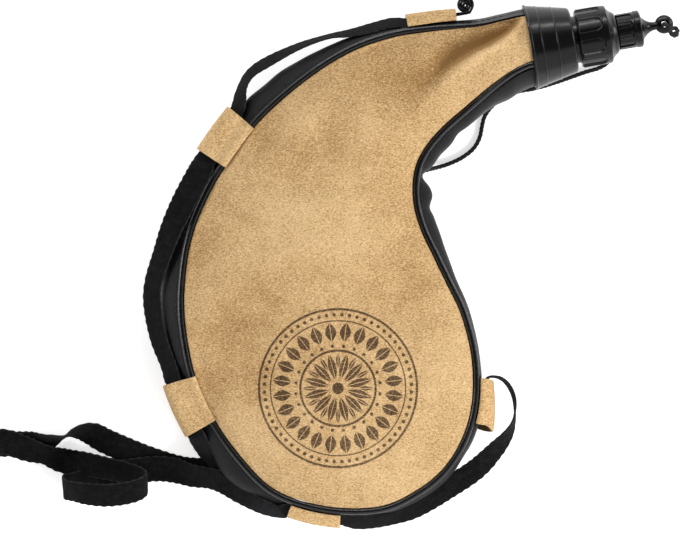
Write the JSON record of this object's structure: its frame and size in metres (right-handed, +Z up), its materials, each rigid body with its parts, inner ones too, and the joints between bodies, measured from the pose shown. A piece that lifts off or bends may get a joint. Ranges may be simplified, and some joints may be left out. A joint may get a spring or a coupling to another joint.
{
  "type": "leather bota bag",
  "caption": "Curved suede wine bag with a black gusset, a screw-on filler cap with a drinking nozzle and a tethered spout cap, and a webbing strap in leather keepers.",
  "frame": {"origin": "where the flat of the back panel rests, under the middle of the belly", "axes": "+X along the mouthpiece from the bag to the tip of its cap, +Z up out of the front panel, which faces up as in the picture; +Y towards the strap's long side"},
  "size_m": [0.5065, 0.3186, 0.0539],
  "materials": {
    "tan_suede": "napped suede",
    "black_leatherette": "semi-gloss grained",
    "black_piping": "satin",
    "black_latex": "matte",
    "steel_band": "brushed",
    "black_plastic": "glossy",
    "black_rubber": "matte",
    "black_webbing": "matte woven cotton",
    "black_cord": "matte braided"
  },
  "bodies": {
    "bag": {"front_panel": "tan_suede", "back_panel": "tan_suede", "gusset": "black_leatherette", "front_piping": "black_piping", "back_piping": "black_piping", "bladder": "black_latex", "bladder_clamp": "steel_band", "neck_collar": "black_plastic", "neck_tube": "black_plastic", "keeper_top": "tan_suede", "keeper_upper_left": "tan_suede", "keeper_lower_left": "tan_suede", "keeper_bottom": "tan_suede", "keeper_right": "tan_suede", "strap_upper_run": "black_webbing", "strap_upper_strand": "black_webbing", "strap_fold": "black_webbing", "strap_lower_strand": "black_webbing", "strap_lower_run": "black_webbing", "tether_cord": "black_cord"},
    "filler_lift": {"filler_gasket": "black_rubber", "tether_lead": "black_cord"},
    "filler_cap": {"filler_cap": "black_plastic"},
    "cap_lift": {"cap_seal": "black_rubber"},
    "spout_cap": {"spout_cap": "black_plastic", "tether_knot": "black_cord"}
  },
  "joints": [
    {"name": "filler_rise", "type": "slide", "parent": "bag", "child": "filler_lift", "axis": [1, 0, 0], "range_m": [0, 0.006]},
    {"name": "filler_turn", "type": "hinge", "parent": "filler_lift", "child": "filler_cap", "pos_m": [0.148, 0.1465, 0.027], "axis": [1, 0, 0], "range_deg": [0, 720]},
    {"name": "cap_rise", "type": "slide", "parent": "filler_cap", "child": "cap_lift", "axis": [1, 0, 0], "range_m": [0, 0.005]},
    {"name": "cap_turn", "type": "hinge", "parent": "cap_lift", "child": "spout_cap", "pos_m": [0.215, 0.1465, 0.027], "axis": [1, 0, 0], "range_deg": [0, 720]}
  ],
  "couplings": [
    {"joint": "filler_rise", "follows": "filler_turn", "m_per_rad": 0.000477},
    {"joint": "cap_rise", "follows": "cap_turn", "m_per_rad": 0.0003975}
  ]
}
